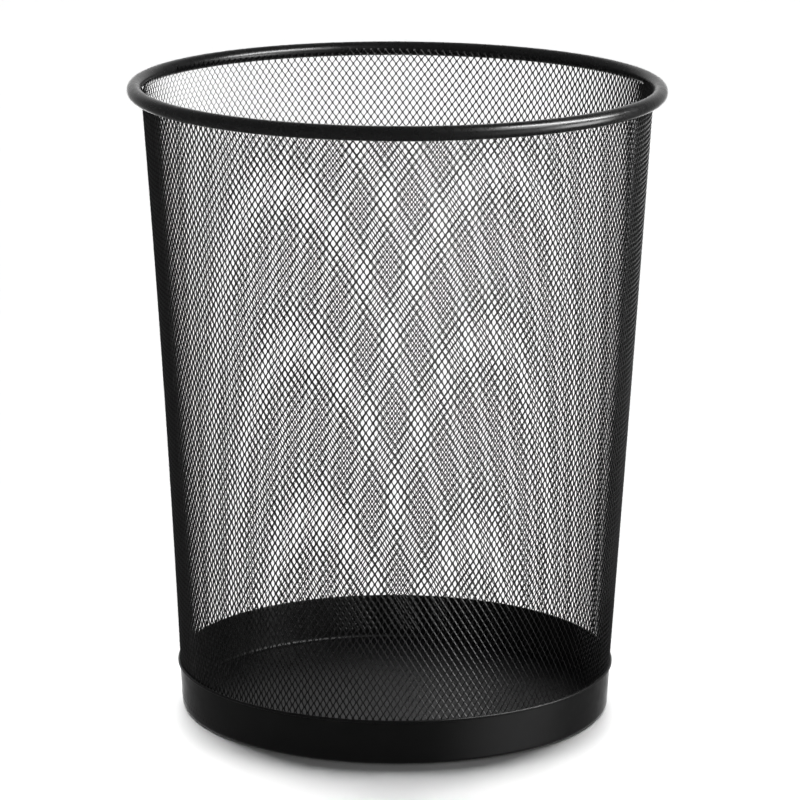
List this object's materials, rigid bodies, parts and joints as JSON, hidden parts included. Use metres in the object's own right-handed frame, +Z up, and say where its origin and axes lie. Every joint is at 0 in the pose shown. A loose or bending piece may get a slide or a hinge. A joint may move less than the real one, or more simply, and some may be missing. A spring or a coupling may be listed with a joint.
{
  "type": "wastebasket",
  "caption": "Round tapered wastebasket with a fine black steel mesh wall, a round tube rim and a solid sheet-steel base pan.",
  "frame": {"origin": "on the floor, under the centre of the basket", "axes": "+Z up through the mouth; X and Y lie in the floor, and the basket is round about Z"},
  "size_m": [0.295, 0.295, 0.352],
  "materials": {
    "rim_coating": "semi-gloss black powder coat on steel tube",
    "mesh_coating": "satin black powder coat on expanded steel mesh",
    "pan_coating": "satin black powder coat on drawn sheet steel"
  },
  "bodies": {
    "root": {"rim_tube": "rim_coating", "mesh_wall": "mesh_coating", "base_pan": "pan_coating"}
  },
  "joints": []
}
